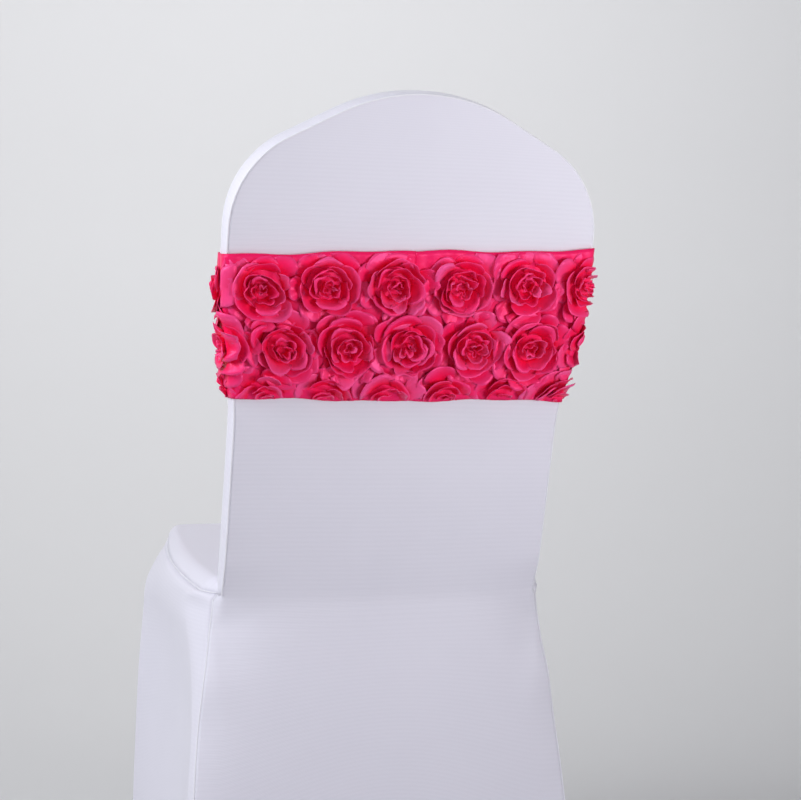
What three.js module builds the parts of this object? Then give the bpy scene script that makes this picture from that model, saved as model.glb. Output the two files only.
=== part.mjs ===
// Stretch cover for a banquet chair, with a band of satin rosettes round its back.
// Millimetres, +Z up, the floor at z = 0. The front of the seat faces -Y, the outside back +Y.
// Each piece is a thin sheet: a grid of outer points, and a grid set inward by the cloth.
import * as THREE from 'three';

// Cloth
const CLOTH = 2;              // sheet thickness
const GAP = 0.35;             // between neighbouring pieces

// Backrest: a flat slab with a rounded crown that leans back from the waist
const RECLINE = THREE.MathUtils.degToRad(16.2);
const WAIST_Z = 437;
const BACK_DEPTH = 31.5;      // rear face to front face
const CROWN_UP = 534.5;       // waist to crown, along the lean
const CROWN_R = 190;
const CROWN_FLAT = 26;        // half width of the last outline point beside the crown's middle
const SHOULDER_R = 105;
const SHOULDER_X = 88;
const SHOULDER_UP = 394;      // centres of the shoulder arcs, above the waist
const WAIST_HALF = 175;       // half width of the backrest at the waist
const NARROW_LOW = 185;       // the sides widen from here
const NARROW_HIGH = 360;      // to the shoulders' width here
const DIP = 8;                // the outside back's edges turn in by this much at the waist
const DIP_UP = 42;
const MIDDLE_OUT = 36;        // the outside back's middle line stands out by this much at the hem

// Seat and hem
const SEAT_MIDDLE_Y = -210;
const SEAT_REAR_Y = -28.2;    // the seat panel's rear edge, at the inside back
const SEAT_REAR_Z = 446.6;
const SEAT_REAR_HALF = 168;
const SEAT_FRONT_Y = -391;
const SEAT_LOW = 452;         // height of the seat's top at the rear edge
const SEAT_HIGH = 486;        // and at the front
const HEM_ARCH = 92;          // height of the hem halfway between two feet
const FOOT_HALF = 26;         // hem that lies flat beside each foot
const ARCH_FROM = 400;        // below this height the rows spread to follow the hem

// Rosette band, in heights along the lean
const BAND_LOW = 220;
const BAND_TALL = 157;
const BAND_TILT = 7.5;        // the top edge climbs by this much from the middle to one side
const BAND_CLEAR = 0.8;
const BAND_CORNER = 0.5;
const ROSE_R = 30;
const ROSE_HIGH = 13;
const ROSE_RUFFLE = 4;
const ROSE_TURN = 13.5;       // from one ring of petals to the next
const ROSES_ROUND = 12;
const ROSE_ROWS = [           // height above the band's lower edge, and shift round the band
  { up: 120, shift: 19 },
  { up: 57, shift: -9 },
  { up: -4, shift: 19 },
];

// The origin lies under the middle of the box that holds the part
const MIDDLE_Y = -136.44;

// Skirt sections from the seat's seam down to the floor. level is the height at the front and
// rear the height at the rear seam. edge is the rear seam, ridge the pulled crease beside the
// rear leg, front the front leg's outer face and corner its rounding. bow is how far the side
// stands out between ridge and front leg (hollow below zero), and face the same at the front.
const SKIRT_COLUMNS = [
  'level', 'rear', 'edgeX', 'edgeY', 'ridgeX', 'ridgeY', 'frontX', 'frontY', 'corner', 'bow', 'face',
];
const SKIRT = [
  [468, 441, 178, -20, 192, -46, 177, -391, 30, 12, 4],
  [460, 436, 182, -19, 199, -66, 189, -402, 36, 10, 5],
  [440, 425, 183, -18, 202, -100, 196, -409, 38, 7, 5],
  [412, 407, 185, -18, 202, -84, 201, -413, 37, 2, 3],
  [380, 380, 188.5, -14, 200.5, -64, 204, -415, 33, -5, -2],
  [345, 345, 194, -6.5, 200.5, -46, 206, -416, 28, -11, -8],
  [300, 300, 199.5, -4, 203.5, -26, 208.5, -417, 24, -16, -12],
  [240, 240, 205, 7, 208, -16, 210.5, -418, 21, -18, -14],
  [130, 130, 212, 27, 213.5, 4, 213.5, -420, 19, -14, -11],
  [0, 0, 215, 52, 216, 27, 216, -422, 18, -8, -6],
];
const SKIRT_LEVELS = [468, 463, 453, 440, 426, 412, 396, 375, 345, 300, 240, 165, 85, 0];
const SIDE_STEPS = 12;
const CORNER_STEPS = 6;
const FACE_STEPS = 6;

const SPANDEX = { color: 0xdedbe8, roughness: 0.55, metalness: 0 };
const SATIN = { color: 0xe0246a, roughness: 0.35, metalness: 0 };

const group = new THREE.Group();
const point = (x, y, z) => new THREE.Vector3(x, y, z);
const ease = (t) => THREE.MathUtils.smoothstep(t, 0, 1);
const steps = (from, to, count) => (
  Array.from({ length: count + 1 }, (_, i) => from + (to - from) * i / count)
);

// A closed sheet between two grids of points with equal columns. A ring closes on itself and
// may have fewer rows inside than outside.
function sheet(name, outer, inner, look, ring = false) {
  const cols = outer[0].length;
  const outerAt = (r, c) => r * cols + (c % cols);
  const innerAt = (r, c) => (outer.length + r) * cols + (c % cols);
  const faces = [];
  const quad = (a, b, c, d) => faces.push(a, b, c, a, c, d);
  const last = ring ? cols : cols - 1;
  for (let c = 0; c < last; c += 1) {
    for (let r = 0; r < outer.length - 1; r += 1) {
      quad(outerAt(r, c), outerAt(r + 1, c), outerAt(r + 1, c + 1), outerAt(r, c + 1));
    }
    for (let r = 0; r < inner.length - 1; r += 1) {
      quad(innerAt(r, c), innerAt(r, c + 1), innerAt(r + 1, c + 1), innerAt(r + 1, c));
    }
    const low = outer.length - 1;
    const innerLow = inner.length - 1;
    quad(outerAt(0, c), outerAt(0, c + 1), innerAt(0, c + 1), innerAt(0, c));
    quad(outerAt(low, c + 1), outerAt(low, c), innerAt(innerLow, c), innerAt(innerLow, c + 1));
  }
  if (!ring) {
    for (let r = 0; r < outer.length - 1; r += 1) {
      quad(outerAt(r + 1, 0), outerAt(r, 0), innerAt(r, 0), innerAt(r + 1, 0));
      quad(outerAt(r, last), outerAt(r + 1, last), innerAt(r + 1, last), innerAt(r, last));
    }
  }
  addPiece(name, [...outer.flat(), ...inner.flat()], faces, look);
}

// The faces are turned to look outward by the sign of the volume that they enclose
function addPiece(name, points, faces, look) {
  let volume = 0;
  for (let i = 0; i < faces.length; i += 3) {
    const [a, b, c] = faces.slice(i, i + 3).map((k) => points[k]);
    volume += a.dot(b.clone().cross(c));
  }
  const index = volume < 0 ? faces.slice().reverse() : faces;
  const geometry = new THREE.BufferGeometry();
  const numbers = points.flatMap((p) => [p.x, p.y - MIDDLE_Y, p.z]);
  geometry.setAttribute('position', new THREE.Float32BufferAttribute(numbers, 3));
  geometry.setIndex(index);
  geometry.computeVertexNormals();
  const mesh = new THREE.Mesh(geometry, new THREE.MeshStandardMaterial(look));
  mesh.name = name;
  group.add(mesh);
}

// Skirt section at any height, on a smooth curve through the table's rows
const rowsUp = [...SKIRT].reverse();
const section = new THREE.CubicInterpolant(
  rowsUp.map((row) => row[0]),
  rowsUp.flat(),
  SKIRT_COLUMNS.length,
);
function skirtAt(level) {
  const row = section.evaluate(level);
  return Object.fromEntries(SKIRT_COLUMNS.map((name, i) => [name, row[i]]));
}

// Half outline of the backrest from a height up to the middle of the crown: sides that widen to
// the shoulders, the shoulder arc, the line that touches both arcs, and the crown arc
const CROWN_CENTRE = CROWN_UP - CROWN_R;
const arcsApart = Math.hypot(SHOULDER_X, SHOULDER_UP - CROWN_CENTRE);
const touching = Math.atan2(SHOULDER_UP - CROWN_CENTRE, SHOULDER_X)
  + Math.acos((CROWN_R - SHOULDER_R) / arcsApart);
function sideAt(up) {
  const wide = ease((up - NARROW_LOW) / (NARROW_HIGH - NARROW_LOW));
  return WAIST_HALF + (SHOULDER_X + SHOULDER_R - WAIST_HALF) * wide;
}
function halfOutline(low) {
  const outline = steps(low, NARROW_LOW, 3).map((up) => ({ x: sideAt(up), up }));
  for (const up of steps(NARROW_LOW, SHOULDER_UP, 7).slice(1)) outline.push({ x: sideAt(up), up });
  for (const a of steps(0, touching, 7).slice(1)) {
    const x = SHOULDER_X + SHOULDER_R * Math.cos(a);
    outline.push({ x, up: SHOULDER_UP + SHOULDER_R * Math.sin(a) });
  }
  for (const a of steps(touching, Math.acos(CROWN_FLAT / CROWN_R), 4)) {
    outline.push({ x: CROWN_R * Math.cos(a), up: CROWN_CENTRE + CROWN_R * Math.sin(a) });
  }
  return outline;
}

// A point of the backrest: sideways, up along the lean, and depth forward from the rear face
function leaning(x, up, depth) {
  return point(
    x,
    up * Math.sin(RECLINE) - depth * Math.cos(RECLINE),
    WAIST_Z + up * Math.cos(RECLINE) + depth * Math.sin(RECLINE),
  );
}
const edgeDip = (up) => DIP * (1 - ease(up / DIP_UP));

// The hem's height at a distance along the run between two feet
function archedHem(along, length) {
  const reach = length / 2 - FOOT_HALF;
  const t = THREE.MathUtils.clamp((reach - Math.abs(along - length / 2)) / reach, 0, 1);
  return HEM_ARCH * Math.sin(t * Math.PI / 2) ** 1.2;
}
const spreadOver = (level, hem) => hem + level * (1 - hem / ARCH_FROM);

// Rows of a panel that fills the backrest's outline, from the crown down, at one depth
const ACROSS = steps(-1, 1, 14).map((f) => 0.6 * f + 0.4 * Math.sin(f * Math.PI / 2));
function backRows(low, depth, place) {
  const crown = ACROSS.map((f) => {
    const x = f * (CROWN_FLAT - 8);
    return place(x, CROWN_CENTRE + Math.sqrt(CROWN_R ** 2 - x ** 2), depth, f);
  });
  const rows = halfOutline(low).reverse();
  return [crown, ...rows.map(({ x, up }) => ACROSS.map((f) => place(f * x, up, depth, f)))];
}

// Outside back, crown to hem in one. Below the waist it hangs from the seat to the rear legs,
// with its edges turned in under the backrest and its middle standing out between them.
const turnedIn = (x, up, depth, f) => {
  const p = leaning(x, up, depth);
  return p.setY(p.y - edgeDip(up) * Math.abs(f) ** 5);
};
const outsideBack = backRows(5, 0, turnedIn);
for (const level of [436, 428, 417, 400, 375, 345, 310, 270, 225, 170, 110, 50, 0]) {
  outsideBack.push(ACROSS.map((f) => {
    const foot = skirtAt(0).edgeX;
    const hem = archedHem((1 - f) * foot, 2 * foot);
    const z = level < ARCH_FROM ? spreadOver(level, hem) : level;
    const atSeat = level + (level - 400) * 0.75;
    const { edgeX, edgeY } = skirtAt(level > 400 ? atSeat : z);
    const middle = 2 + MIDDLE_OUT * ((WAIST_Z - z) / WAIST_Z) ** 1.5;
    const out = Math.max(middle - edgeY, 0) * (1 - Math.abs(f) ** 5);
    return point(f * edgeX, edgeY + out, z);
  }));
}
const setIn = (p) => point(p.x, p.y - CLOTH / Math.cos(RECLINE), p.z);
sheet('back_panel', outsideBack, outsideBack.map((row) => row.map(setIn)), SPANDEX);

// Inside back, flat, down to the seat
const INSIDE_LOW = 2.2;
sheet(
  'inside_back',
  backRows(INSIDE_LOW, BACK_DEPTH, leaning),
  backRows(INSIDE_LOW, BACK_DEPTH - CLOTH, leaning),
  SPANDEX,
);

// Gusset: the strip round the edge of the backrest, between the two panels. Its ends slant down
// to the welt in front.
const GUSSET_LOW = 5;
const FOOT_REAR = 2.9;
const FOOT_FRONT = -2;
const oneSide = halfOutline(GUSSET_LOW);
const crownTop = { x: 0, up: CROWN_UP };
const wholeOutline = [
  ...oneSide,
  crownTop,
  ...oneSide.map(({ x, up }) => ({ x: -x, up })).reverse(),
];
const inset = wholeOutline.map(({ x, up }, i) => {
  const before = wholeOutline[Math.max(i - 1, 0)];
  const after = wholeOutline[Math.min(i + 1, wholeOutline.length - 1)];
  const along = new THREE.Vector2(after.x - before.x, after.up - before.up).normalize();
  return { x: x - along.y * CLOTH, up: up + along.x * CLOTH };
});
const gussetRow = (spots) => spots.map(({ x, up }, i) => {
  const from = CLOTH + GAP + edgeDip(wholeOutline[i].up) * Math.cos(RECLINE);
  const to = BACK_DEPTH - CLOTH - GAP;
  const end = i === 0 || i === spots.length - 1;
  return [leaning(x, end ? FOOT_REAR : up, from), leaning(x, end ? FOOT_FRONT : up, to)];
});
sheet('back_gusset', gussetRow(wholeOutline), gussetRow(inset), SPANDEX);

// Skirt: one half from the rear seam round to the middle of the front, then its mirror image
const REAR_START = CLOTH / Math.cos(RECLINE) + 2.2 * GAP;
function skirtHalf(level, hems) {
  const spots = [];
  const add = (x, y, row) => {
    const t = (row.edgeY - y) / (row.edgeY - row.frontY);
    spots.push(point(x, y, row.rear + (row.level - row.rear) * t));
  };
  const place = (i, shape) => {
    const z = level < ARCH_FROM ? spreadOver(level, hems[i]) : level;
    shape(skirtAt(z));
  };
  const total = 3 + SIDE_STEPS + CORNER_STEPS + FACE_STEPS;
  for (let i = 0; i <= total; i += 1) {
    place(i, (row) => {
      const cornerY = row.frontY + row.corner;
      const cornerX = row.frontX - row.corner;
      if (i <= 3) {
        const t = i / 3;
        const x = row.edgeX + (row.ridgeX - row.edgeX) * t;
        add(x, row.edgeY - REAR_START + (row.ridgeY - row.edgeY + REAR_START) * t, row);
      } else if (i <= 3 + SIDE_STEPS) {
        const t = (i - 3) / SIDE_STEPS;
        const bow = row.bow * 4 * t * (1 - t);
        add(row.ridgeX + (row.frontX - row.ridgeX) * t + bow, row.ridgeY + (cornerY - row.ridgeY) * t, row);
      } else if (i <= 3 + SIDE_STEPS + CORNER_STEPS) {
        const a = (i - 3 - SIDE_STEPS) / CORNER_STEPS * Math.PI / 2;
        add(cornerX + row.corner * Math.cos(a), cornerY - row.corner * Math.sin(a), row);
      } else {
        const t = (i - 3 - SIDE_STEPS - CORNER_STEPS) / FACE_STEPS;
        const face = row.face * (1 - (1 - t) ** 2);
        add(cornerX * (1 - t), row.frontY - face, row);
      }
    });
  }
  return spots;
}
const noHem = new Array(4 + SIDE_STEPS + CORNER_STEPS + FACE_STEPS).fill(0);
const floor = skirtAt(0);
const hems = skirtHalf(0, noHem).map((p, i) => {
  if (i > 3 + SIDE_STEPS) return archedHem(floor.frontX - p.x, 2 * floor.frontX);
  return archedHem(floor.edgeY - p.y, floor.edgeY - floor.frontY);
});
const mirrored = (row) => row.map((p) => point(-p.x, p.y, p.z)).reverse().slice(1);
const skirt = SKIRT_LEVELS.map((level) => {
  const half = skirtHalf(level, hems);
  return [...half, ...mirrored(half)];
});

// The skirt's top rows lie on the cushion, so they thicken downward, and the rest inward
const skirtInside = skirt.map((row, r) => row.map((p, c) => {
  const left = row[Math.max(c - 1, 0)];
  const right = row[Math.min(c + 1, row.length - 1)];
  const above = skirt[Math.max(r - 1, 0)][c];
  const below = skirt[Math.min(r + 1, skirt.length - 1)][c];
  const across = right.clone().sub(left);
  const down = below.clone().sub(above);
  const out = down.cross(across).normalize();
  if (out.dot(point(p.x, p.y - SEAT_MIDDLE_Y, 0)) < 0) out.negate();
  out.lerp(point(0, 0, 1), [1, 0.4, 0][Math.min(r, 2)]);
  if (r === skirt.length - 1) out.setZ(0);
  out.normalize();
  return p.clone().addScaledVector(out, -CLOTH);
}));
sheet('skirt', skirt, skirtInside, SPANDEX);

// Seat panel: rings from the welt seam in to the middle of the cushion. The foam stands up from
// the welt with a rounded shoulder, to a top that is almost flat and falls toward the rear.
const seatEdge = skirt[0].slice(1, -1).map((p) => {
  const middle = point(0, SEAT_MIDDLE_Y, p.z);
  const inward = middle.sub(p).normalize();
  return p.clone().addScaledVector(inward, GAP * 1.5);
});
for (const x of steps(-SEAT_REAR_HALF, SEAT_REAR_HALF, 10)) {
  seatEdge.push(point(x, SEAT_REAR_Y, SEAT_REAR_Z));
}
const seatTopZ = (y) => THREE.MathUtils.mapLinear(y, SEAT_REAR_Y, SEAT_FRONT_Y, SEAT_LOW, SEAT_HIGH);
const SEAT_RINGS = [0, 0.03, 0.08, 0.2, 0.5, 0.8];
const SHOULDER_DONE = 0.1;    // share of the way in where the shoulder has reached the top
const seatRing = (inward, thick) => seatEdge.map((p) => {
  const middle = point(p.x * 0.15, SEAT_MIDDLE_Y, p.z);
  const spot = p.clone().lerp(middle, inward);
  const rise = Math.sin(Math.min(inward / SHOULDER_DONE, 1) * Math.PI / 2);
  return spot.setZ(p.z + (seatTopZ(spot.y) - p.z) * rise - thick);
});
function seatPanel() {
  const cols = seatEdge.length;
  const outer = SEAT_RINGS.map((f) => seatRing(f, 0));
  const inner = SEAT_RINGS.map((f) => seatRing(f, CLOTH));
  const points = [...outer.flat(), ...inner.flat()];
  const at = (side, ring, c) => (side * SEAT_RINGS.length + ring) * cols + (c % cols);
  const faces = [];
  const quad = (a, b, c, d) => faces.push(a, b, c, a, c, d);
  for (let c = 0; c < cols; c += 1) {
    for (let r = 0; r < SEAT_RINGS.length - 1; r += 1) {
      quad(at(0, r, c), at(0, r, c + 1), at(0, r + 1, c + 1), at(0, r + 1, c));
      quad(at(1, r, c), at(1, r + 1, c), at(1, r + 1, c + 1), at(1, r, c + 1));
    }
    quad(at(0, 0, c + 1), at(0, 0, c), at(1, 0, c), at(1, 0, c + 1));
    const lastRing = SEAT_RINGS.length - 1;
    const top = points.length;
    faces.push(at(0, lastRing, c), at(0, lastRing, c + 1), top);
    faces.push(at(1, lastRing, c + 1), at(1, lastRing, c), top + 1);
  }
  const topZ = seatTopZ(SEAT_MIDDLE_Y);
  points.push(point(0, SEAT_MIDDLE_Y, topZ), point(0, SEAT_MIDDLE_Y, topZ - CLOTH));
  addPiece('seat_top', points, faces, SPANDEX);
}
seatPanel();

// Rosette band: a ring round the backrest, walked as a rectangle with rounded corners. Each spot
// has its place on the rectangle, the way it faces, and its distance round from the rear middle.
const REAR_STEPS = 44;
const BAND_SIDE_STEPS = 5;
const TURN_STEPS = 3;
const BAND_HALF = 184;
function bandSpots() {
  const spots = [];
  const half = BAND_HALF - BAND_CORNER;
  const deep = BACK_DEPTH / 2 - BAND_CORNER;
  const corners = [[1, -1], [1, 1], [-1, 1], [-1, -1]];
  const runs = [BAND_SIDE_STEPS, REAR_STEPS, BAND_SIDE_STEPS, REAR_STEPS];
  corners.forEach(([sx, sd], k) => {
    const start = Math.PI / 2 * (k - 1);
    for (const a of steps(start, start + Math.PI / 2, TURN_STEPS)) {
      spots.push({ x: sx * half, depth: sd * deep, nx: Math.cos(a), nd: Math.sin(a) });
    }
    const [ex, ed] = corners[(k + 1) % 4];
    const end = start + Math.PI / 2;
    for (const t of steps(0, 1, runs[k]).slice(1, -1)) {
      spots.push({
        x: half * (sx + (ex - sx) * t),
        depth: deep * (sd + (ed - sd) * t),
        nx: Math.cos(end),
        nd: Math.sin(end),
      });
    }
  });
  let round = 0;
  spots.forEach((s, i) => {
    const before = spots[Math.max(i - 1, 0)];
    const spin = Math.abs(Math.atan2(before.nx * s.nd - before.nd * s.nx, before.nx * s.nx + before.nd * s.nd));
    round += Math.hypot(s.x - before.x, s.depth - before.depth) + spin * BAND_CORNER;
    s.round = round;
  });
  return spots;
}
const spots = bandSpots();
const bandRound = spots[spots.length - 1].round + (BAND_HALF * 2 - BAND_CORNER * 2) / REAR_STEPS;
const rearMiddle = bandRound - (BAND_HALF - BAND_CORNER);
const pitch = bandRound / ROSES_ROUND;

// How far the band stands out at a place: rings of petals round each rosette's bud
function roseRelief(round, up) {
  let most = 1;
  ROSE_ROWS.forEach((row, k) => {
    const along = rearMiddle - round - row.shift;
    const near = along - Math.round(along / pitch) * pitch;
    const r = Math.hypot(near, up - row.up);
    if (r >= ROSE_R) return;
    const angle = Math.atan2(up - row.up, near) + k;
    const dome = Math.sqrt(1 - (r / ROSE_R) ** 3);
    const ring = Math.cos(2 * Math.PI * r / ROSE_TURN + angle);
    const petal = 1 + 0.25 * Math.cos(5 * angle + r / 6);
    most = Math.max(most, (ROSE_HIGH - ROSE_RUFFLE) * dome + ROSE_RUFFLE * ring * petal * dome);
  });
  return most;
}
function bandRow(f, relief) {
  return spots.map((s) => {
    const tilt = -BAND_TILT * s.x / BAND_HALF;
    const up = BAND_LOW + f * (BAND_TALL + tilt);
    const grow = sideAt(up) - BAND_HALF;
    const rim = Math.min(f, 1 - f) < 0.01 ? 0.35 : 1;
    const out = BAND_CORNER + BAND_CLEAR + (relief ? CLOTH + rim * roseRelief(s.round, f * BAND_TALL) : 0);
    const x = s.x + Math.sign(s.x) * grow * Math.min(Math.abs(s.x) / 150, 1) + s.nx * out;
    return leaning(x, up, BACK_DEPTH / 2 + s.depth + s.nd * out);
  });
}
sheet(
  'rosette_band',
  steps(1, 0, 23).map((f) => bandRow(f, true)),
  steps(1, 0, 5).map((f) => bandRow(f, false)),
  SATIN,
  true,
);

export default group;
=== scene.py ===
import bisect
import math
import random

import bmesh
import bpy
from mathutils import Matrix, Vector


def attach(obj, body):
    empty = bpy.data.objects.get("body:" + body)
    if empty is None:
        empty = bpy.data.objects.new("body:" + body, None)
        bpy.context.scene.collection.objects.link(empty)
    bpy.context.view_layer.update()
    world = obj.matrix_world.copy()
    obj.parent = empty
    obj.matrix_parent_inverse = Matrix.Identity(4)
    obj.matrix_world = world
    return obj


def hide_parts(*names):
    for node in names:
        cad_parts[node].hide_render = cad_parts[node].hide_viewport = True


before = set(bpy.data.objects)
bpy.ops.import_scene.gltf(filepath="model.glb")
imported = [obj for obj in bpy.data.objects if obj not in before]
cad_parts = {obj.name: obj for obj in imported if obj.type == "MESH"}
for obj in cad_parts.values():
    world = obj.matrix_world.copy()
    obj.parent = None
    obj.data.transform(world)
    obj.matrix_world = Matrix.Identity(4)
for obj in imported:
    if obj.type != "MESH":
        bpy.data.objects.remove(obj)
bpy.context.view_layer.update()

# The camera stands behind the cover and a little to its left, at the height of the
# backrest's middle, as the photo's does.
CAMERA_AT = Vector((0.4977, 1.8428, 0.6685))
LOOKED_AT = Vector((-0.0175, 0.1364, 0.6470))
ROLL = math.radians(0.46)
FOCAL_PIXELS = 1651.3
PHOTO_WIDE = 801
SENSOR_MM = 36.0

back_axis = (CAMERA_AT - LOOKED_AT).normalized()
right_axis = Vector((0, 0, 1)).cross(back_axis).normalized()
up_axis = back_axis.cross(right_axis)
turned_right = right_axis * math.cos(ROLL) + up_axis * math.sin(ROLL)
turned_up = up_axis * math.cos(ROLL) - right_axis * math.sin(ROLL)
camera_data = bpy.data.cameras.new("photo_camera")
camera_data.sensor_width = SENSOR_MM
camera_data.lens = FOCAL_PIXELS / PHOTO_WIDE * SENSOR_MM
camera = bpy.data.objects.new("photo_camera", camera_data)
axes = Matrix((turned_right, turned_up, back_axis)).transposed().to_4x4()
camera.matrix_world = Matrix.Translation(CAMERA_AT) @ axes
bpy.context.collection.objects.link(camera)
bpy.context.scene.camera = camera

# The studio is a pale sweep: a floor that curves up into a wall all round, so that no
# edge shows behind the cover.
SWEEP_R = 3.4
SWEEP_TALL = 4.2
SWEEP_BEND = 1.6
# Painted shade: the floor's grey is set darker than the wall's, for the light that falls off low
# down.
FLOOR_SHADE_GREY = (0.68, 0.68, 0.69, 1)
WALL_GREY = (0.74, 0.74, 0.75, 1)
HUB_R = 0.001
BEND_STEPS = 12
ROUND_STEPS = 96


def shown(name, mesh):
    """Puts a mesh in the scene as a smooth object."""
    for polygon in mesh.polygons:
        polygon.use_smooth = True
    piece = bpy.data.objects.new(name, mesh)
    bpy.context.collection.objects.link(piece)
    return piece


def shown_from(name, bm):
    mesh = bpy.data.meshes.new(name)
    bm.to_mesh(mesh)
    bm.free()
    return shown(name, mesh)


def new_material(name):
    made = bpy.data.materials.new(name)
    made.use_nodes = True
    return made, made.node_tree.nodes, made.node_tree.links


bm = bmesh.new()
profile = [bm.verts.new((HUB_R, 0, 0)), bm.verts.new((SWEEP_R - SWEEP_BEND, 0, 0))]
for step in range(1, BEND_STEPS + 1):
    bend = math.pi / 2 * step / BEND_STEPS
    out = SWEEP_R - SWEEP_BEND + SWEEP_BEND * math.sin(bend)
    profile.append(bm.verts.new((out, 0, SWEEP_BEND * (1 - math.cos(bend)))))
profile.append(bm.verts.new((SWEEP_R, 0, SWEEP_TALL)))
edges = [bm.edges.new(pair) for pair in zip(profile, profile[1:])]
bmesh.ops.spin(
    bm, geom=profile + edges, cent=(0, 0, 0), axis=(0, 0, 1),
    angle=math.tau, steps=ROUND_STEPS, use_merge=True,
)
bmesh.ops.recalc_face_normals(bm, faces=bm.faces)
sweep = shown_from("studio_sweep", bm)
paint, paint_nodes, paint_links = new_material("studio_grey")
paint_nodes["Principled BSDF"].inputs["Roughness"].default_value = 0.9
sweep_place = paint_nodes.new("ShaderNodeTexCoord")
sweep_axes = paint_nodes.new("ShaderNodeSeparateXYZ")
paint_links.new(sweep_place.outputs["Object"], sweep_axes.inputs["Vector"])
# Painted shade: the sweep's grey darkens from the wall down to the floor, with height.
sweep_shade_ramp = paint_nodes.new("ShaderNodeValToRGB")
sweep_shade_ramp.color_ramp.elements[0].color = FLOOR_SHADE_GREY
sweep_shade_ramp.color_ramp.elements[1].color = WALL_GREY
paint_links.new(sweep_axes.outputs["Z"], sweep_shade_ramp.inputs["Fac"])
paint_links.new(
    sweep_shade_ramp.outputs["Color"], paint_nodes["Principled BSDF"].inputs["Base Color"]
)
sweep.data.materials.append(paint)


# Soft light comes from big panels: a key with a narrower beam low on the camera's right, one on
# its left that brightens the side, a broad one overhead, and one for the backdrop.
def soft_panel(name, at, aimed, size, power, colour, spread=180):
    lamp = bpy.data.lights.new(name, "AREA")
    lamp.shape = "RECTANGLE"
    lamp.size, lamp.size_y = size
    lamp.energy = power
    lamp.color = colour
    lamp.spread = math.radians(spread)
    holder = bpy.data.objects.new(name, lamp)
    holder.location = at
    holder.rotation_euler = (Vector(at) - Vector(aimed)).to_track_quat("Z", "Y").to_euler()
    holder.visible_camera = False
    bpy.context.collection.objects.link(holder)


soft_panel("key", (-0.8, 1.4, 0.6), (0, 0.25, 1.0), (0.6, 0.6), 3.8, (1, 0.99, 0.985), 100)
soft_panel("left", (1.5, 0.5, 1.35), (0, 0.0, 0.75), (0.9, 0.9), 21, (0.96, 0.985, 1))
soft_panel("overhead", (0.2, 0.2, 3.0), (0, 0.05, 0.5), (2.4, 2.4), 14, (1, 1, 1))
soft_panel("backdrop", (-0.2, -1.3, 2.4), (-0.45, -3.2, 1.0), (2.0, 0.6), 36, (0.99, 0.99, 1))
world = bpy.data.worlds.new("studio_air")
world.use_nodes = True
world.node_tree.nodes["Background"].inputs["Color"].default_value = (0.93, 0.95, 1, 1)
world.node_tree.nodes["Background"].inputs["Strength"].default_value = 0.15
bpy.context.scene.world = world
bpy.context.scene.view_settings.view_transform = "Standard"

# The outside back is one panel of spandex knit, crown to hem, sewn in at both sides. It is
# stretched flat over the backrest, turns in below it, and flares to the floor at its corners.
LEAN = math.radians(16.2)
WAIST = 0.437
BACK_DEEP = 0.0315
CROWN_UP = 0.5345
CROWN_R = 0.190
SHOULDER_R = 0.105
SHOULDER_X = 0.088
SHOULDER_UP = 0.394
WAIST_HALF = 0.175
NARROW_LOW = 0.185
NARROW_HIGH = 0.360
DIP = 0.008
DIP_UP = 0.042
MIDDLE_OUT = 0.036
MIDDLE_Y = -0.13644
HEM_ARCH = 0.092
FOOT_HALF = 0.026
HEM_POWER = 1.2
ARCH_FROM = 0.400
KNIT_THICK = 0.0009
SIDE_SPOTS = 24
SHOULDER_SPOTS = 14
CROWN_SPOTS = 16


def ease(t):
    t = min(max(t, 0.0), 1.0)
    return t * t * (3 - 2 * t)


def mix(a, b, t):
    return a + (b - a) * t


def in_part(x, y, z):
    return Vector((x, y - MIDDLE_Y, z))


def leaning(x, up, deep):
    y = up * math.sin(LEAN) - deep * math.cos(LEAN)
    return in_part(x, y, WAIST + up * math.cos(LEAN) + deep * math.sin(LEAN))


CROWN_CENTRE = CROWN_UP - CROWN_R
arcs_apart = math.hypot(SHOULDER_X, SHOULDER_UP - CROWN_CENTRE)
touching = math.atan2(SHOULDER_UP - CROWN_CENTRE, SHOULDER_X)
touching += math.acos((CROWN_R - SHOULDER_R) / arcs_apart)


def side_at(up):
    wide = ease((up - NARROW_LOW) / (NARROW_HIGH - NARROW_LOW))
    return WAIST_HALF + (SHOULDER_X + SHOULDER_R - WAIST_HALF) * wide


def back_outline(low, fine=1):
    """Half outline of the backrest, from a height to the middle of the crown."""
    spots = []
    for i in range(SIDE_SPOTS * fine):
        up = mix(low, SHOULDER_UP, i / (SIDE_SPOTS * fine))
        spots.append((side_at(up), up))
    for i in range(SHOULDER_SPOTS * fine):
        a = touching * i / (SHOULDER_SPOTS * fine)
        spots.append((SHOULDER_X + SHOULDER_R * math.cos(a), SHOULDER_UP + SHOULDER_R * math.sin(a)))
    for i in range(CROWN_SPOTS * fine + 1):
        a = mix(touching, math.pi / 2, i / (CROWN_SPOTS * fine))
        spots.append((CROWN_R * math.cos(a), CROWN_CENTRE + CROWN_R * math.sin(a)))
    return spots


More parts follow.
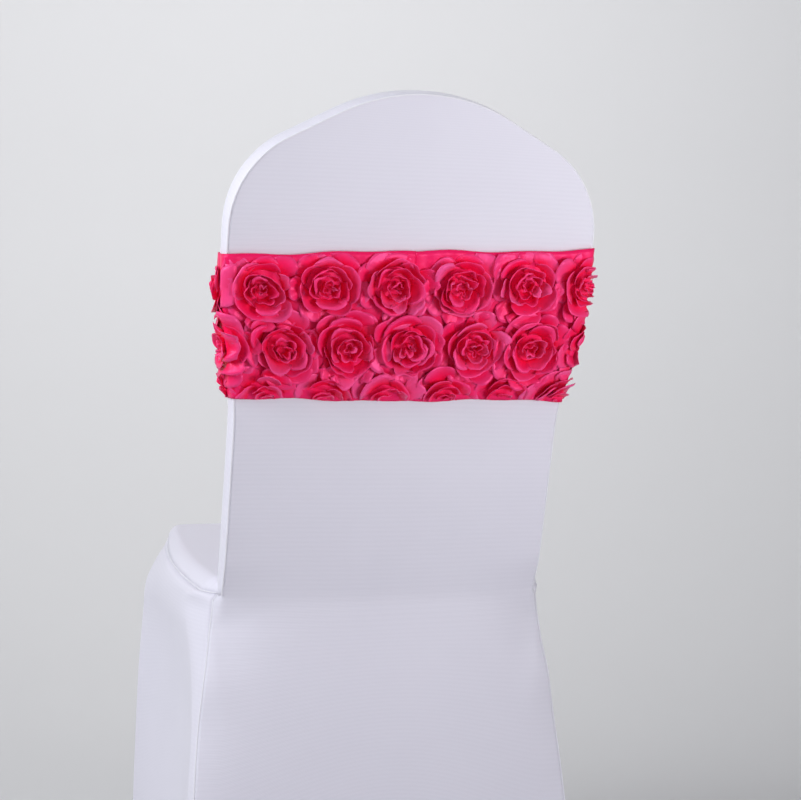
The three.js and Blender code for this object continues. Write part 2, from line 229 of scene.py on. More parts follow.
# level, rear, edge x and y, ridge x and y, front x and y, corner, bow, face
SKIRT_SECTIONS = (
    (0.468, 0.441, 0.178, -0.020, 0.192, -0.046, 0.177, -0.391, 0.030, 0.012, 0.004),
    (0.460, 0.436, 0.182, -0.019, 0.199, -0.066, 0.180, -0.402, 0.036, 0.010, 0.005),
    (0.440, 0.425, 0.183, -0.018, 0.202, -0.100, 0.191, -0.409, 0.038, 0.007, 0.005),
    (0.412, 0.407, 0.185, -0.018, 0.202, -0.084, 0.202, -0.413, 0.037, 0.002, 0.003),
    (0.380, 0.380, 0.1885, -0.014, 0.2005, -0.064, 0.204, -0.415, 0.033, -0.005, -0.002),
    (0.345, 0.345, 0.194, -0.0065, 0.2005, -0.046, 0.206, -0.416, 0.028, -0.011, -0.008),
    (0.300, 0.300, 0.1995, -0.004, 0.2035, -0.026, 0.2085, -0.417, 0.024, -0.016, -0.012),
    (0.240, 0.240, 0.205, 0.007, 0.208, -0.016, 0.2105, -0.418, 0.021, -0.018, -0.014),
    (0.130, 0.130, 0.212, 0.027, 0.2135, 0.004, 0.2135, -0.420, 0.019, -0.014, -0.011),
    (0.0, 0.0, 0.215, 0.052, 0.216, 0.027, 0.216, -0.422, 0.018, -0.008, -0.006),
)
REAR, EDGE_X, EDGE_Y, RIDGE_X, RIDGE_Y, FRONT_X, FRONT_Y, CORNER, BOW, FACE = range(1, 11)


def skirt_at(level):
    """The section at any height, on a smooth curve through the rows."""
    rows = SKIRT_SECTIONS[::-1]
    low = 0
    while low < len(rows) - 2 and rows[low + 1][0] <= level:
        low += 1
    a, b = rows[low], rows[low + 1]
    before, after = rows[max(low - 1, 0)], rows[min(low + 2, len(rows) - 1)]
    span = b[0] - a[0]
    t = (level - a[0]) / span
    section = []
    for k in range(len(a)):
        slope_a = (b[k] - before[k]) / (b[0] - before[0]) * span
        slope_b = (after[k] - a[k]) / (after[0] - a[0]) * span
        section.append(
            (2 * t**3 - 3 * t**2 + 1) * a[k] + (t**3 - 2 * t**2 + t) * slope_a
            + (3 * t**2 - 2 * t**3) * b[k] + (t**3 - t**2) * slope_b
        )
    return section


def arched_hem(along, length):
    reach = length / 2 - FOOT_HALF
    t = min(max((reach - abs(along - length / 2)) / reach, 0.0), 1.0)
    return HEM_ARCH * math.sin(t * math.pi / 2) ** HEM_POWER


def cloth_grid(name, across, down, place, flat):
    """A sheet of cloth: a grid whose points are put in place, with its flat size as its UVs."""
    bm = bmesh.new()
    bmesh.ops.create_grid(bm, x_segments=across, y_segments=down, size=1, calc_uvs=True)
    uv = bm.loops.layers.uv.verify()
    for face in bm.faces:
        for loop in face.loops:
            x, y, z = loop.vert.co
            loop[uv].uv = (x * flat[0] / 2, y * flat[1] / 2)
    for vert in bm.verts:
        x, y, z = vert.co
        vert.co = place(x, (1 - y) / 2)
    return shown_from(name, bm)


def thicken(piece, thick, offset=-1.0):
    solid = piece.modifiers.new("cloth", "SOLIDIFY")
    solid.thickness = thick
    solid.offset = offset


def facing(piece, point, outward):
    """Turns the sheet's faces so that the one nearest a point looks the way given."""
    mesh = piece.data
    near = min(mesh.polygons, key=lambda p: (p.center - point).length)
    if near.normal.dot(outward) < 0:
        mesh.flip_normals()


def noise_at(nodes, links, place, scale, detail=2):
    noise = nodes.new("ShaderNodeTexNoise")
    noise.inputs["Scale"].default_value = scale
    noise.inputs["Detail"].default_value = detail
    links.new(place.outputs["Object"], noise.inputs["Vector"])
    return noise


def add_bump(nodes, links, height, strength, distance):
    bump = nodes.new("ShaderNodeBump")
    bump.inputs["Strength"].default_value = strength
    bump.inputs["Distance"].default_value = distance
    links.new(height, bump.inputs["Height"])
    links.new(bump.outputs["Normal"], nodes["Principled BSDF"].inputs["Normal"])


def spandex_material():
    made, nodes, links = new_material("white_spandex")
    shader = nodes["Principled BSDF"]
    shader.inputs["Roughness"].default_value = 0.62
    shader.inputs["Sheen Weight"].default_value = 0.35
    shader.inputs["Sheen Roughness"].default_value = 0.45
    shader.inputs["Specular IOR Level"].default_value = 0.35
    flat = nodes.new("ShaderNodeUVMap")
    place = nodes.new("ShaderNodeTexCoord")
    warp = noise_at(nodes, links, place, 9)
    wales = nodes.new("ShaderNodeTexWave")
    wales.wave_type = "BANDS"
    wales.bands_direction = "Y"
    wales.inputs["Scale"].default_value = 62
    wales.inputs["Distortion"].default_value = 7
    wales.inputs["Detail"].default_value = 1
    wales.inputs["Detail Scale"].default_value = 0.05
    links.new(flat.outputs["UV"], wales.inputs["Vector"])
    courses = nodes.new("ShaderNodeTexWave")
    courses.wave_type = "BANDS"
    courses.bands_direction = "Y"
    courses.inputs["Scale"].default_value = 210
    links.new(flat.outputs["UV"], courses.inputs["Vector"])
    loops = nodes.new("ShaderNodeMath")
    loops.operation = "MULTIPLY_ADD"
    loops.inputs[1].default_value = 0.5
    links.new(wales.outputs["Fac"], loops.inputs[0])
    links.new(courses.outputs["Fac"], loops.inputs[2])
    add_bump(nodes, links, loops.outputs["Value"], 0.12, 0.0004)
    tint = nodes.new("ShaderNodeMix")
    tint.data_type = "RGBA"
    tint.inputs["A"].default_value = (0.79, 0.772, 0.88, 1)
    tint.inputs["B"].default_value = (0.83, 0.811, 0.92, 1)
    shade = nodes.new("ShaderNodeMath")
    shade.operation = "MULTIPLY_ADD"
    shade.inputs[1].default_value = 0.35
    links.new(wales.outputs["Fac"], shade.inputs[0])
    links.new(warp.outputs["Fac"], shade.inputs[2])
    links.new(shade.outputs["Value"], tint.inputs["Factor"])
    links.new(tint.outputs["Result"], shader.inputs["Base Color"])
    return made


spandex = spandex_material()
OUTSIDE_FLAT = (0.36, 1.01)
CREASE_AT = 0.955
CREASE_TOP = 0.441
CREASE_END = 0.392
TURN_LONG = 0.016
TURN_LONG_SIDE = 0.045
TURN_DONE = 0.22
TURN_DONE_SIDE = 0.372
BACK_ROWS = 240
UPPER_SHARE = 144 / BACK_ROWS
FIRST_BELOW = 145 / BACK_ROWS
CLOSED_UP = 0.0052
WING_EASE = 0.012
CREST_HALF = 0.020
ABOVE_ARCH = 0.75
MIDDLE_LEAST = 0.002
MIDDLE_POWER = 1.5
BOW_POWER = 5
CREASE_POWER = 12
TURN_POWER = 6


def outline_rows(low):
    """Half outline from the crest down, with the distance along it at each point."""
    spots = [spot for spot in reversed(back_outline(low, 3)) if spot[0] > CREST_HALF]
    crest = (CREST_HALF, CROWN_CENTRE + math.sqrt(CROWN_R**2 - CREST_HALF**2))
    spots.insert(0, crest)
    gone = [0.0]
    for (x0, up0), (x1, up1) in zip(spots, spots[1:]):
        gone.append(gone[-1] + math.hypot(x1 - x0, up1 - up0))
    return spots, gone


def half_and_up(rows, distance):
    """Half width and height of the backrest at a distance down its outline."""
    spots, gone = rows
    i = min(max(bisect.bisect_right(gone, distance) - 1, 0), len(gone) - 2)
    t = min((distance - gone[i]) / (gone[i + 1] - gone[i]), 1)
    return mix(spots[i][0], spots[i + 1][0], t), mix(spots[i][1], spots[i + 1][1], t)


def on_backrest(rows, f, distance, deep):
    """A point of a panel that fills the outline; its first row lies along the crest."""
    if distance <= 0:
        x = f * CREST_HALF
        return leaning(x, CROWN_CENTRE + math.sqrt(CROWN_R**2 - x * x), deep)
    half, up = half_and_up(rows, distance)
    return leaning(f * half, up, deep)


upper_rows = outline_rows(0)
UPPER_LONG = upper_rows[1][-1]


def turned_down(level, side):
    """Share of the way from the backrest's plane to the hanging cloth, from middle to side."""
    share = side**TURN_POWER
    long, done = mix(TURN_LONG, TURN_LONG_SIDE, share), mix(TURN_DONE, TURN_DONE_SIDE, share)
    t = (CREASE_TOP - level) / long
    turned = t / 2 if t < 1 else 1 - 1 / (2 * t)
    return mix(1, turned, ease((level - done) / (CREASE_TOP - done)))


def below_waist(f, level):
    """Under the backrest: a crease runs on from its seam, and a wing from there to the edge."""
    foot = skirt_at(0)[EDGE_X]
    side = min(abs(f) / CREASE_AT, 1)
    wing = max(abs(f) - CREASE_AT, 0) / (1 - CREASE_AT)
    edge_share = mix(side * CREASE_AT, 1, wing)
    if level < ARCH_FROM:
        hem = arched_hem((1 - edge_share) * foot, 2 * foot)
        level = hem + level * (1 - hem / ARCH_FROM)
        section = skirt_at(level)
    else:
        section = skirt_at(level + (level - ARCH_FROM) * ABOVE_ARCH)
    edge_x, edge_y = section[EDGE_X], section[EDGE_Y]
    fade = ease((level - CREASE_END) / (CREASE_TOP - CREASE_END))
    middle = MIDDLE_LEAST + MIDDLE_OUT * (max(WAIST - level, 0) / WAIST) ** MIDDLE_POWER
    out = max(middle - edge_y, 0)
    flat_y = (level - WAIST) * math.tan(LEAN)
    bare_y = edge_y + out * (1 - CREASE_AT**BOW_POWER)
    crease_x = mix(edge_x * CREASE_AT, WAIST_HALF, fade)
    crease_y = mix(bare_y, flat_y - DIP, fade)
    if wing:
        x = mix(crease_x, edge_x, wing)
        crease_y = mix(flat_y - DIP, crease_y, turned_down(level, 1))
        bulge = edge_y + out * (1 - edge_share**BOW_POWER) - mix(bare_y, edge_y, wing)
        y = mix(crease_y, edge_y, wing) + (1 - fade) * bulge
    else:
        x = side * crease_x
        y = edge_y + out * (1 - (side * CREASE_AT) ** BOW_POWER)
        y += (crease_y - bare_y) * side**CREASE_POWER
        y = mix(flat_y - DIP * side**BOW_POWER, y, turned_down(level, side))
    return in_part(math.copysign(x, f), y, level)


def outside_back(f, v):
    """f runs from side to side, v from the crown down to the hem."""
    if v > UPPER_SHARE:
        return below_waist(f, CREASE_TOP * (1 - v) / (1 - FIRST_BELOW))
    run = v / UPPER_SHARE * (UPPER_LONG - CLOSED_UP)
    up = UPPER_LONG - run
    side = math.copysign(min(abs(f) / CREASE_AT, 1), f)
    share = mix(side, f, min((up - CLOSED_UP) / WING_EASE, 1))
    spot = on_backrest(upper_rows, share, run, 0)
    spot.y -= DIP * (1 - ease(up / DIP_UP)) * abs(share) ** BOW_POWER
    return spot


back_panel = cloth_grid("outside_back", 120, BACK_ROWS, outside_back, OUTSIDE_FLAT)
facing(back_panel, leaning(0, 0.3, 0), Vector((0, 1, 0)))
thicken(back_panel, KNIT_THICK)
back_panel.data.materials.append(spandex)
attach(back_panel, "root")
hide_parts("back_panel")

# The seam that joins the outside back to its side strip is overlocked inside, so it shows as
# a narrow rounded ridge where both cloths turn in.
SEAM_R = 0.0009
SEAM_IN = 0.0004


def seam_ridge(name, route, radius=SEAM_R):
    line = bpy.data.curves.new(name, "CURVE")
    line.dimensions = "3D"
    line.bevel_depth = radius
    line.bevel_resolution = 2
    line.use_fill_caps = True
    spline = line.splines.new("POLY")
    spline.points.add(len(route) - 1)
    for spot, place in zip(spline.points, route):
        spot.co = (*place, 1)
    holder = bpy.data.objects.new(name + "_line", line)
    bpy.context.collection.objects.link(holder)
    mesh = bpy.data.meshes.new_from_object(holder)
    bpy.data.objects.remove(holder)
    bpy.data.curves.remove(line)
    mesh.name = name
    mesh.materials.append(seam_white)
    piece = shown(name, mesh)
    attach(piece, "root")


def seam_material():
    made, nodes, links = new_material("seam_white")
    shader = nodes["Principled BSDF"]
    shader.inputs["Base Color"].default_value = (0.86, 0.85, 0.93, 1)
    shader.inputs["Roughness"].default_value = 0.5
    shader.inputs["Sheen Weight"].default_value = 0.3
    place = nodes.new("ShaderNodeTexCoord")
    stitch = noise_at(nodes, links, place, 900)
    add_bump(nodes, links, stitch.outputs["Fac"], 0.25, 0.0003)
    return made


seam_white = seam_material()


def round_the_back(low, deep):
    """Points round the backrest's edge, from one side over the crown to the other."""
    half = []
    for x, up in back_outline(low):
        dip = DIP * (1 - ease(up / DIP_UP)) if deep < BACK_DEEP / 2 else 0
        spot = leaning(x, up, deep)
        spot.y -= dip
        half.append(spot)
    other = [Vector((-p.x, p.y, p.z)) for p in reversed(half[:-1])]
    return half + other


seam_ridge("rear_seam", round_the_back(0.004, SEAM_IN))
seam_ridge("front_seam", round_the_back(0.006, BACK_DEEP - SEAM_IN))

# The gusset is the long narrow strip of the same knit that is sewn between the two faces of
# the backrest. It is a little crowned between its seams, and its foot reaches the seat.
GUSSET_LOW = 0.002
GUSSET_FOOT = -0.012
GUSSET_FOOT_TALL = 0.03
GUSSET_CROWN = 0.0022
GUSSET_IN = 0.0003
gusset_route = back_outline(GUSSET_LOW)
gusset_route = gusset_route + [(-x, up) for x, up in reversed(gusset_route[:-1])]


def gusset(f, v):
    """f runs from the rear seam to the front one, v from one waist over the crown."""
    at = v * (len(gusset_route) - 1)
    low = min(int(at), len(gusset_route) - 2)
    (x0, up0), (x1, up1) = gusset_route[low], gusset_route[low + 1]
    x, up = mix(x0, x1, at - low), mix(up0, up1, at - low)
    along = Vector((x1 - x0, up1 - up0)).normalized()
    crown = GUSSET_CROWN * (1 - f * f)
    dip = DIP * (1 - ease(up / DIP_UP))
    deep = mix(GUSSET_IN + dip, BACK_DEEP - GUSSET_IN, (f + 1) / 2)
    near_foot = max(1 - (up - GUSSET_LOW) / GUSSET_FOOT_TALL, 0)
    up += (GUSSET_FOOT - GUSSET_LOW) * near_foot * (f + 1) / 2
    return leaning(x + along.y * crown, up - along.x * crown, deep)


back_gusset = cloth_grid("side_strip", 8, 212, gusset, (0.030, 1.29))
facing(back_gusset, leaning(WAIST_HALF, 0.1, BACK_DEEP / 2), Vector((1, 0, 0)))
thicken(back_gusset, KNIT_THICK)
back_gusset.data.materials.append(spandex)
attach(back_gusset, "root")
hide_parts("back_gusset")

# The inside back is the panel one leans on: the same outline, padded a little, down to the
# crease where it meets the seat.
INSIDE_LOW = 0.002
INSIDE_PUFF = 0.004
PUFF_EASE_TOP = 0.06
PUFF_EASE_LOW = 0.04
inside_rows = outline_rows(INSIDE_LOW)
INSIDE_LONG = inside_rows[1][-1]


def inside_back(f, v):
    run = v * INSIDE_LONG
    ends = min(run / PUFF_EASE_TOP, (INSIDE_LONG - run) / PUFF_EASE_LOW, 1)
    puff = INSIDE_PUFF * (1 - f**4) * ends
    return on_backrest(inside_rows, f, run, BACK_DEEP + puff)


inside = cloth_grid("padded_face", 60, 110, inside_back, (0.36, 0.52))
facing(inside, leaning(0, 0.3, BACK_DEEP), Vector((0, -1, 0)))
thicken(inside, KNIT_THICK)
inside.data.materials.append(spandex)
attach(inside, "root")
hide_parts("inside_back")

# The skirt is one wrap of the knit from the welt of the seat to the floor, sewn to the seat
# panel and to the outside back. It is drawn into a long crease beside each rear corner.
FACET_SHARE = 0.10
SIDE_SHARE = 0.56
CORNER_SHARE = 0.16
FACET_POWER = 0.9
EDGE_IN = 0.001
SEAM_LEVEL = 0.468
LEVEL_POWER = 0.9


def skirt_spot(level, g):
    """g runs from 0 at the rear seam to 1 at the middle of the front."""
    row = skirt_at(level)
    corner_y, corner_x = row[FRONT_Y] + row[CORNER], row[FRONT_X] - row[CORNER]
    if g < FACET_SHARE:
        t = g / FACET_SHARE
        x = mix(row[EDGE_X], row[RIDGE_X], math.sin(t * math.pi / 2) ** FACET_POWER)
        y = mix(row[EDGE_Y] - EDGE_IN, row[RIDGE_Y], t)
    elif g < SIDE_SHARE:
        t = (g - FACET_SHARE) / (SIDE_SHARE - FACET_SHARE)
        x = mix(row[RIDGE_X], row[FRONT_X], t) + row[BOW] * 4 * t * (1 - t)
        y = mix(row[RIDGE_Y], corner_y, t)
    elif g < SIDE_SHARE + CORNER_SHARE:
        a = (g - SIDE_SHARE) / CORNER_SHARE * math.pi / 2
        x, y = corner_x + row[CORNER] * math.cos(a), corner_y - row[CORNER] * math.sin(a)
    else:
        t = (g - SIDE_SHARE - CORNER_SHARE) / (1 - SIDE_SHARE - CORNER_SHARE)
        x, y = corner_x * (1 - t), row[FRONT_Y] - row[FACE] * (1 - (1 - t) ** 2)
    t = (row[EDGE_Y] - y) / (row[EDGE_Y] - row[FRONT_Y])
    return x, y, mix(row[REAR], row[0], t)


foot_row = skirt_at(0)


def skirt_hem(g):
    x, y, z = skirt_spot(0, g)
    if g > SIDE_SHARE:
        return arched_hem(foot_row[FRONT_X] - x, 2 * foot_row[FRONT_X])
    return arched_hem(foot_row[EDGE_Y] - y, foot_row[EDGE_Y] - foot_row[FRONT_Y])


def skirt(f, v):
    """f runs from the rear seam on the cover's +X side round the front to the other one."""
    g = 1 - abs(f)
    level = SEAM_LEVEL * (1 - v**LEVEL_POWER) if v > 0 else SEAM_LEVEL
    if level < ARCH_FROM:
        hem = skirt_hem(g)
        level = hem + level * (1 - hem / ARCH_FROM)
    x, y, z = skirt_spot(level, g)
    return in_part(math.copysign(x, -f) if f else 0, y, z)


wrap = cloth_grid("seat_wrap", 220, 80, skirt, (1.35, 0.48))
facing(wrap, in_part(0.2, -0.2, 0.3), Vector((1, 0, 0)))
thicken(wrap, KNIT_THICK)
wrap.data.materials.append(spandex)
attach(wrap, "root")
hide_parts("skirt")

# The seat panel is a piece of the knit sewn into a welt seam. It stands up from the welt with
# a rounded shoulder to an almost flat top that falls a little to the rear.
SHOULDER_IN = 0.017
SHOULDER_POWER = 0.8
SEAT_REAR_Y = -0.0175
SEAT_REAR_Z = 0.447
REAR_EASE = 0.02
TOP_REAR_Z = 0.456
TOP_FRONT_Z = 0.485
WELT_REAR_Z = 0.4415
WELT_LONG = 0.3625
WELT_HALF = 0.177
WELT_FRONT_Y = -0.391
WELT_CORNER = 0.030
WELT_BOW = 0.004
WELT_SPOTS = 120
WELT_R = 0.0008
WELT_LIFT = 0.0004
welt_half = [skirt_spot(SEAM_LEVEL, g / WELT_SPOTS) for g in range(WELT_SPOTS + 1)]
welt_front = [(x, y, z) for x, y, z in welt_half if y < SEAT_REAR_Y]


def seat_top_z(y):
    return mix(TOP_REAR_Z, TOP_FRONT_Z, (SEAT_REAR_Y - y) / (SEAT_REAR_Y - WELT_FRONT_Y))


def welt_x(y):
    """Half width of the welt seam at a place from rear to front."""
    for (x0, y0, z0), (x1, y1, z1) in zip(welt_front, welt_front[1:]):
        if y1 <= y <= y0 and y0 > y1:
            return mix(x0, x1, (y0 - y) / (y0 - y1))
    return welt_front[0][0]


def seat(f, v):
    """f runs from side to side, v from the rear crease to the front of the welt."""
    straight = WELT_HALF - WELT_CORNER
    corner_y = WELT_FRONT_Y + WELT_CORNER
    side_y = mix(SEAT_REAR_Y, corner_y, v)
    half = welt_x(side_y)
    x = f * half
    corner = max(abs(x) - straight, 0) / WELT_CORNER
    front_y = corner_y - WELT_CORNER * math.sqrt(max(1 - min(corner, 1) ** 2, 0))
    front_y -= WELT_BOW * (1 - min(abs(x) / straight, 1) ** 2)
    y = mix(SEAT_REAR_Y, front_y, v)
    welt_z = mix(WELT_REAR_Z, SEAM_LEVEL, (SEAT_REAR_Y - y) / WELT_LONG)
    inward = min((1 - abs(f)) * half, y - front_y)
    rise = math.sin(min(inward / SHOULDER_IN, 1) * math.pi / 2) ** SHOULDER_POWER
    z = mix(welt_z, seat_top_z(y), rise)
    rear_in = min((SEAT_REAR_Y - y) / REAR_EASE, 1)
    return in_part(x, y, min(z, mix(SEAT_REAR_Z, z, math.sin(rear_in * math.pi / 2))))


seat_panel = cloth_grid("seat_panel", 120, 120, seat, (0.38, 0.36))
facing(seat_panel, in_part(0, -0.2, 0.47), Vector((0, 0, 1)))
thicken(seat_panel, KNIT_THICK)
seat_panel.data.materials.append(spandex)
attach(seat_panel, "root")
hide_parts("seat_top")

welt_route = [in_part(x, y, z + WELT_LIFT) for x, y, z in welt_half]
welt_route += [Vector((-p.x, p.y, p.z)) for p in reversed(welt_route[:-1])]
seam_ridge("seat_welt", welt_route, WELT_R)

# Two long seams join the skirt to the outside back, one at each side, from the waist to the
# floor. They are sewn inside, so each shows as a fine rounded ridge.
SEAM_SPOTS = 60
SEAM_SUNK = Vector((0, -0.0006, 0))
for side, name in ((1, "left_skirt_seam"), (-1, "right_skirt_seam")):
    levels = [CREASE_TOP * (1 - i / SEAM_SPOTS) for i in range(SEAM_SPOTS + 1)]
    seam_ridge(name, [below_waist(side, level) + SEAM_SUNK for level in levels])

# The band is a ring of stretch satin under the rosettes. It is pushed on over the crown and
# grips the backrest, a little higher at one end.
BAND_LOW = 0.220
BAND_TALL = 0.157
BAND_TILT = 0.0075
BAND_OFF = 0.0012
SIDE_OFF = 0.0016
FRONT_DROP = 0.007
FRONT_SWELL = 0.0022
BAND_THICK = 0.0008
BAND_TURN = 0.004
BAND_HALF = 0.184
BAND_SLACK = 0.004
JOIN_SPARE = 0.001
FULL_GROW_X = 0.15
TILT_UP = BAND_LOW + 0.08
PUCKER = 0.0005
PUCKER_IN = 0.0003
run_wide = 2 * (BAND_HALF - BAND_TURN)
run_deep = BACK_DEEP - 2 * BAND_TURN + BAND_SLACK
turn_long = BAND_TURN * math.pi / 2
BAND_ROUND = 2 * (run_wide + run_deep) + 4 * turn_long


def band_place(round_at, up, out):
    """A point on the band: distance round from the rear middle towards +X, height, and out."""
    at = round_at % BAND_ROUND
    x0, d0 = BAND_HALF - BAND_TURN, run_deep / 2
    pieces = (
        ("run", run_wide / 2, (0, -d0 - BAND_TURN), (1, 0), (0, -1)),
        ("turn", turn_long, (x0, -d0), -90, None),
        ("run", run_deep, (x0 + BAND_TURN, -d0), (0, 1), (1, 0)),
        ("turn", turn_long, (x0, d0), 0, None),
        ("run", run_wide, (x0, d0 + BAND_TURN), (-1, 0), (0, 1)),
        ("turn", turn_long, (-x0, d0), 90, None),
        ("run", run_deep, (-x0 - BAND_TURN, d0), (0, -1), (-1, 0)),
        ("turn", turn_long, (-x0, -d0), 180, None),
        ("run", run_wide / 2 + JOIN_SPARE, (-x0, -d0 - BAND_TURN), (1, 0), (0, -1)),
    )
    for kind, long, start, way, face in pieces:
        if at <= long:
            break
        at -= long
    if kind == "run":
        x, d = start[0] + way[0] * at, start[1] + way[1] * at
        nx, nd = face
    else:
        a = math.radians(way) + at / BAND_TURN
        nx, nd = math.cos(a), math.sin(a)
        x, d = start[0] + BAND_TURN * nx, start[1] + BAND_TURN * nd
    grow = (side_at(up) - BAND_HALF) * min(abs(x) / FULL_GROW_X, 1)
    x += grow * math.copysign(1, x) + nx * (out + BAND_OFF + SIDE_OFF)
    up -= FRONT_DROP * (d / BACK_DEEP + 0.5)
    swell = FRONT_SWELL * max(nd, 0) * max(1 - (x / BAND_HALF) ** 2, 0)
    return leaning(x, up, BACK_DEEP / 2 + d + nd * (out + BAND_OFF) + swell)


def band_up(round_at, v):
    """Height along the lean, v from the lower edge to the upper one, with its slope."""
    x = band_place(round_at, TILT_UP, 0).x
    tilt = -BAND_TILT * x / BAND_HALF
    ripple = 0.0012 * math.sin(round_at * 34) + 0.0008 * math.sin(round_at * 83 + 1)
    return BAND_LOW + v * (BAND_TALL + tilt) + ripple * (2 * v - 1)


def band(f, v):
    round_at = (f + 1) / 2 * BAND_ROUND
    pucker = PUCKER * math.sin(round_at * 420 + v * 5) * math.sin(round_at * 57)
    return band_place(round_at, band_up(round_at, 1 - v), max(pucker, -PUCKER_IN))


def satin_material(name, light, deep, rough):
    made, nodes, links = new_material(name)
    shader = nodes["Principled BSDF"]
    shader.inputs["Roughness"].default_value = rough
    shader.inputs["Sheen Weight"].default_value = 0.2
    shader.inputs["Sheen Roughness"].default_value = 0.35
    shader.inputs["Sheen Tint"].default_value = (1, 0.1, 0.4, 1)
    shader.inputs["Anisotropic"].default_value = 0.45
    shader.inputs["Specular IOR Level"].default_value = 0.9
    shader.inputs["Specular Tint"].default_value = (1, 0.16, 0.42, 1)
    place = nodes.new("ShaderNodeTexCoord")
    patch = noise_at(nodes, links, place, 55, 3)
    colours = nodes.new("ShaderNodeMix")
    colours.data_type = "RGBA"
    colours.inputs["A"].default_value = deep
    colours.inputs["B"].default_value = light
    links.new(patch.outputs["Fac"], colours.inputs["Factor"])
    links.new(colours.outputs["Result"], shader.inputs["Base Color"])
    crinkle = noise_at(nodes, links, place, 190, 4)
    add_bump(nodes, links, crinkle.outputs["Fac"], 0.35, 0.0012)
    return made


band_satin = satin_material("band_satin", (1.0, 0.02, 0.17, 1), (0.95, 0.006, 0.09, 1), 0.38)
band_ring = cloth_grid("band_ring", 420, 30, band, (BAND_ROUND, BAND_TALL))
bm = bmesh.new()
bm.from_mesh(band_ring.data)
bmesh.ops.remove_doubles(bm, verts=bm.verts, dist=0.0002)
bm.to_mesh(band_ring.data)
bm.free()
facing(band_ring, leaning(0, 0.3, 0), Vector((0, 1, 0)))
thicken(band_ring, BAND_THICK, 1.0)
band_ring.data.materials.append(band_satin)
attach(band_ring, "root")

# Each rosette is satin ribbon folded and tacked into petals: a tight bud, standing petals that
# nest round it, wide ones that lean out, and loose flat ones that fill in between rosettes.
ROSES_ROUND = 12
ROSE_PITCH = BAND_ROUND / ROSES_ROUND
# name of the row, height of its middle over the lower edge, shift round the band
ROSE_ROWS = (
    ("upper_rosettes", 0.120, 0.017),
    ("lower_rosettes", 0.057, -0.003),
    ("hem_rosettes", -0.004, 0.019),
)
# petals in the ring, radius at the root, length, rise in degrees, angle that one spans
PETAL_RINGS = (
    (8, 0.0235, 0.0185, 17, 0.95),
    (5, 0.0200, 0.0150, 44, 1.5),
    (5, 0.0140, 0.0150, 58, 1.65),
    (4, 0.0080, 0.0140, 68, 1.9),
    (3, 0.0032, 0.0125, 76, 2.1),
)
PETAL_ACROSS = 9
PETAL_UP = 6
EDGE_FLAT = 0.012
SIDE_FLAT = 0.6
SIDE_EDGE_FLAT = 0.035
SIDE_MIDDLE = run_wide / 2 + turn_long + run_deep / 2
SIDE_HALF = 0.012
SIDE_EASE = 0.03
STANDING_RISE = 20
ROLLED_SHARE = 0.3
FOLDED_SHARE = 0.14
# Share of painted highlight that a folded petal gets.
FOLDED_HIGHLIGHT = 0.9
LEAST_LONG = 0.004
LEAST_HIGH = 0.0004
TIP_ROUND = 0.34
RIBBON_THICK = 0.0004
RING_TURN = 0.7
chance = random.Random(12)


def petal_profile(rise, long, cup, lip):
    """Distance out from the root and height at each row of a petal: cupped, then turned out."""
    spots = [(0.0, 0.0)]
    for i in range(PETAL_UP):
        t = (i + 0.5) / PETAL_UP
        slope = rise + cup * (t - 0.35) - lip * max(t - 0.7, 0) / 0.3
        out, high = spots[-1]
        step = long / PETAL_UP
        spots.append((out + step * math.cos(slope), high + step * math.sin(slope)))
    return spots


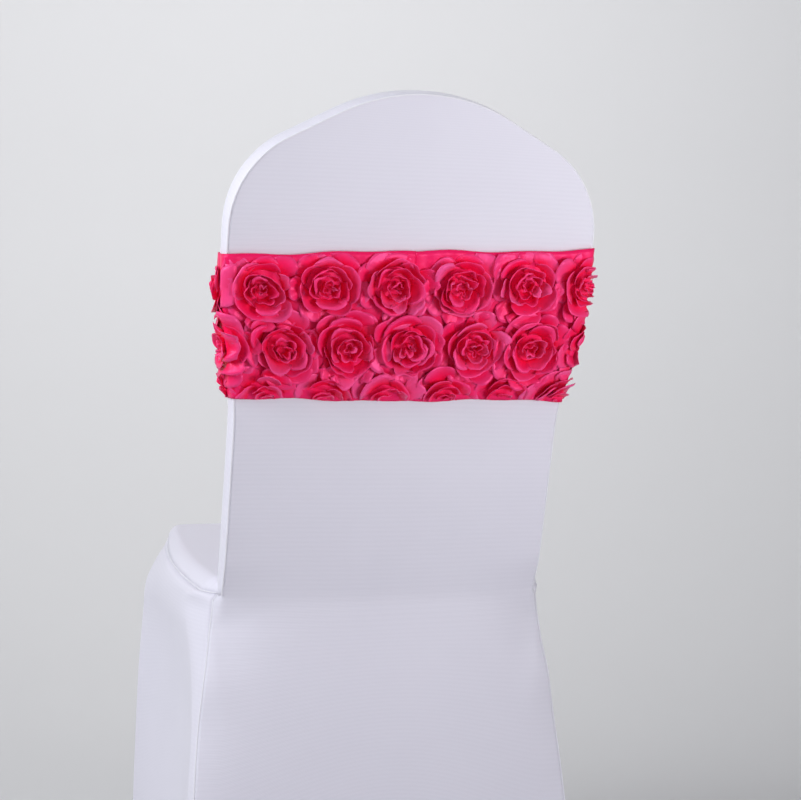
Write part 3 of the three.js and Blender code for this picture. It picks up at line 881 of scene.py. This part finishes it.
def petal(bm, centre, turn, ring):
    """One petal: a grid that wraps round the bud and rises from its root."""
    root, long, rise, wide = ring[1:]
    standing = rise > STANDING_RISE
    long *= chance.uniform(0.8, 1.22)
    rise = math.radians(rise + chance.uniform(-9, 9))
    wide *= chance.uniform(0.75, 1.2)
    root += chance.uniform(-0.0015, 0.0015)
    rolled = chance.random() < ROLLED_SHARE
    lip = chance.uniform(0.9, 1.9) if rolled else chance.uniform(-0.1, 0.4)
    ruffle = chance.uniform(0.0008, 0.0028)
    waves = chance.uniform(2.2, 5.5)
    phase = chance.uniform(0, math.tau)
    point = chance.uniform(-0.12, 0.2)
    skew = chance.uniform(-0.35, 0.35)
    # Painted highlight: some petals, picked at random, and every folded one are painted brighter
    # pink, as if they caught the light.
    painted_highlight = 0.75 * chance.random() ** 3
    if standing and chance.random() < FOLDED_SHARE:
        wide *= 0.6
        long *= 1.15
        painted_highlight = FOLDED_HIGHLIGHT
    upright = math.sin(turn)
    if abs(upright) > 0.2:
        edge_up = band_up(centre[0], 1) - 0.002 if upright > 0 else band_up(centre[0], 0) + 0.001
        long = min(long, max((edge_up - centre[1]) / upright - root, LEAST_LONG))
    rows = petal_profile(rise, long, 0.7 if standing else 0.1, lip if standing else 0)
    highlight_layer = bm.verts.layers.float["highlight_share"]
    made = bmesh.ops.create_grid(
        bm, x_segments=PETAL_ACROSS, y_segments=PETAL_UP, size=1, calc_uvs=True
    )
    for vert in made["verts"]:
        s, t = vert.co.x, (vert.co.y + 1) / 2
        out, high = rows[round(t * PETAL_UP)]
        reach = (1 - TIP_ROUND * abs(s) ** 3) * (1 + point * (1 - abs(s)) ** 2)
        frill = ruffle * t * math.sin(waves * s + phase) + 0.0005 * math.sin(9 * s + 5 * t + phase)
        radial = root + reach * out + frill * math.sin(rise)
        high = 0.0005 + reach * high + frill * math.cos(rise)
        angle = turn + s * wide / 2 * (0.8 + 0.2 * t) + skew * t
        round_at = centre[0] + radial * math.cos(angle)
        up = centre[1] + radial * math.sin(angle)
        low_up, high_up = band_up(round_at, 0) + 0.0005, band_up(round_at, 1) - 0.0012
        up = min(max(up, low_up), high_up)
        high *= mix(0.25, 1, ease(min(up - low_up, high_up - up) / EDGE_FLAT))
        from_middle = abs((round_at + BAND_ROUND / 2) % BAND_ROUND - BAND_ROUND / 2)
        off_side = ease((abs(from_middle - SIDE_MIDDLE) - SIDE_HALF) / SIDE_EASE)
        high *= mix(SIDE_FLAT, 1, off_side)
        high *= mix(ease((high_up - up) / SIDE_EDGE_FLAT), 1, off_side)
        vert.co = band_place(round_at, up, max(high, LEAST_HIGH))
        # Painted highlight: the share of bright pink grows from the root towards the tip.
        vert[highlight_layer] = painted_highlight * ease(t * 1.6)


def petal_material():
    made = satin_material("petal_satin", (1.0, 0.018, 0.16, 1), (1.0, 0.006, 0.08, 1), 0.33)
    nodes, links = made.node_tree.nodes, made.node_tree.links
    shader = nodes["Principled BSDF"]
    body = shader.inputs["Base Color"].links[0].from_socket
    flat = nodes.new("ShaderNodeUVMap")
    parts = nodes.new("ShaderNodeSeparateXYZ")
    links.new(flat.outputs["UV"], parts.inputs["Vector"])
    # Painted shade and highlight: along each petal the colour darkens towards the root, where the
    # cups lie in shade, and turns lighter and pinker at the rim as a painted highlight.
    root_shade_rim_highlight = nodes.new("ShaderNodeValToRGB")
    steps = root_shade_rim_highlight.color_ramp
    steps.elements[0].color = (0.95, 0.3, 0.4, 1)
    steps.elements[1].color = (1, 1, 1, 1)
    steps.elements[1].position = 0.6
    rim_highlight = steps.elements.new(1.0)
    rim_highlight.color = (1.0, 4.0, 1.9, 1)
    links.new(parts.outputs["Y"], root_shade_rim_highlight.inputs["Fac"])
    # Reads each petal's painted highlight share and blends in a bright pink by it.
    highlight_share = nodes.new("ShaderNodeAttribute")
    highlight_share.attribute_name = "highlight_share"
    highlighted = nodes.new("ShaderNodeMix")
    highlighted.data_type = "RGBA"
    highlighted.inputs["B"].default_value = (1.0, 0.11, 0.36, 1)
    links.new(highlight_share.outputs["Fac"], highlighted.inputs["Factor"])
    # Multiplies the petal's own colour by the painted root shade and rim highlight.
    shade_and_highlight = nodes.new("ShaderNodeMix")
    shade_and_highlight.data_type = "RGBA"
    shade_and_highlight.blend_type = "MULTIPLY"
    shade_and_highlight.inputs["Factor"].default_value = 1
    links.new(body, shade_and_highlight.inputs["A"])
    links.new(root_shade_rim_highlight.outputs["Color"], shade_and_highlight.inputs["B"])
    links.new(shade_and_highlight.outputs["Result"], highlighted.inputs["A"])
    links.new(highlighted.outputs["Result"], shader.inputs["Base Color"])
    return made


petal_satin = petal_material()
for name, centre, shift in ROSE_ROWS:
    bm = bmesh.new()
    bm.loops.layers.uv.new("UVMap")
    bm.verts.layers.float.new("highlight_share")
    for k in range(ROSES_ROUND):
        middle = shift + k * ROSE_PITCH + chance.uniform(-0.002, 0.002)
        low_up, high_up = band_up(middle, 0), band_up(middle, 1)
        up = low_up + centre * (high_up - low_up) / BAND_TALL + chance.uniform(-0.002, 0.002)
        turn = chance.uniform(0, math.tau)
        for ring in PETAL_RINGS:
            for j in range(ring[0]):
                angle = turn + j * math.tau / ring[0] + chance.uniform(-0.15, 0.15)
                if up + ring[1] * math.sin(angle) < low_up + 0.001:
                    continue
                petal(bm, (middle, up), angle, ring)
            turn += RING_TURN
            middle += chance.uniform(-0.001, 0.001)
            up += chance.uniform(-0.001, 0.001)
    bmesh.ops.recalc_face_normals(bm, faces=bm.faces)
    piece = shown_from(name, bm)
    thicken(piece, RIBBON_THICK, 0)
    piece.data.materials.append(petal_satin)
    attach(piece, "root")
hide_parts("rosette_band")
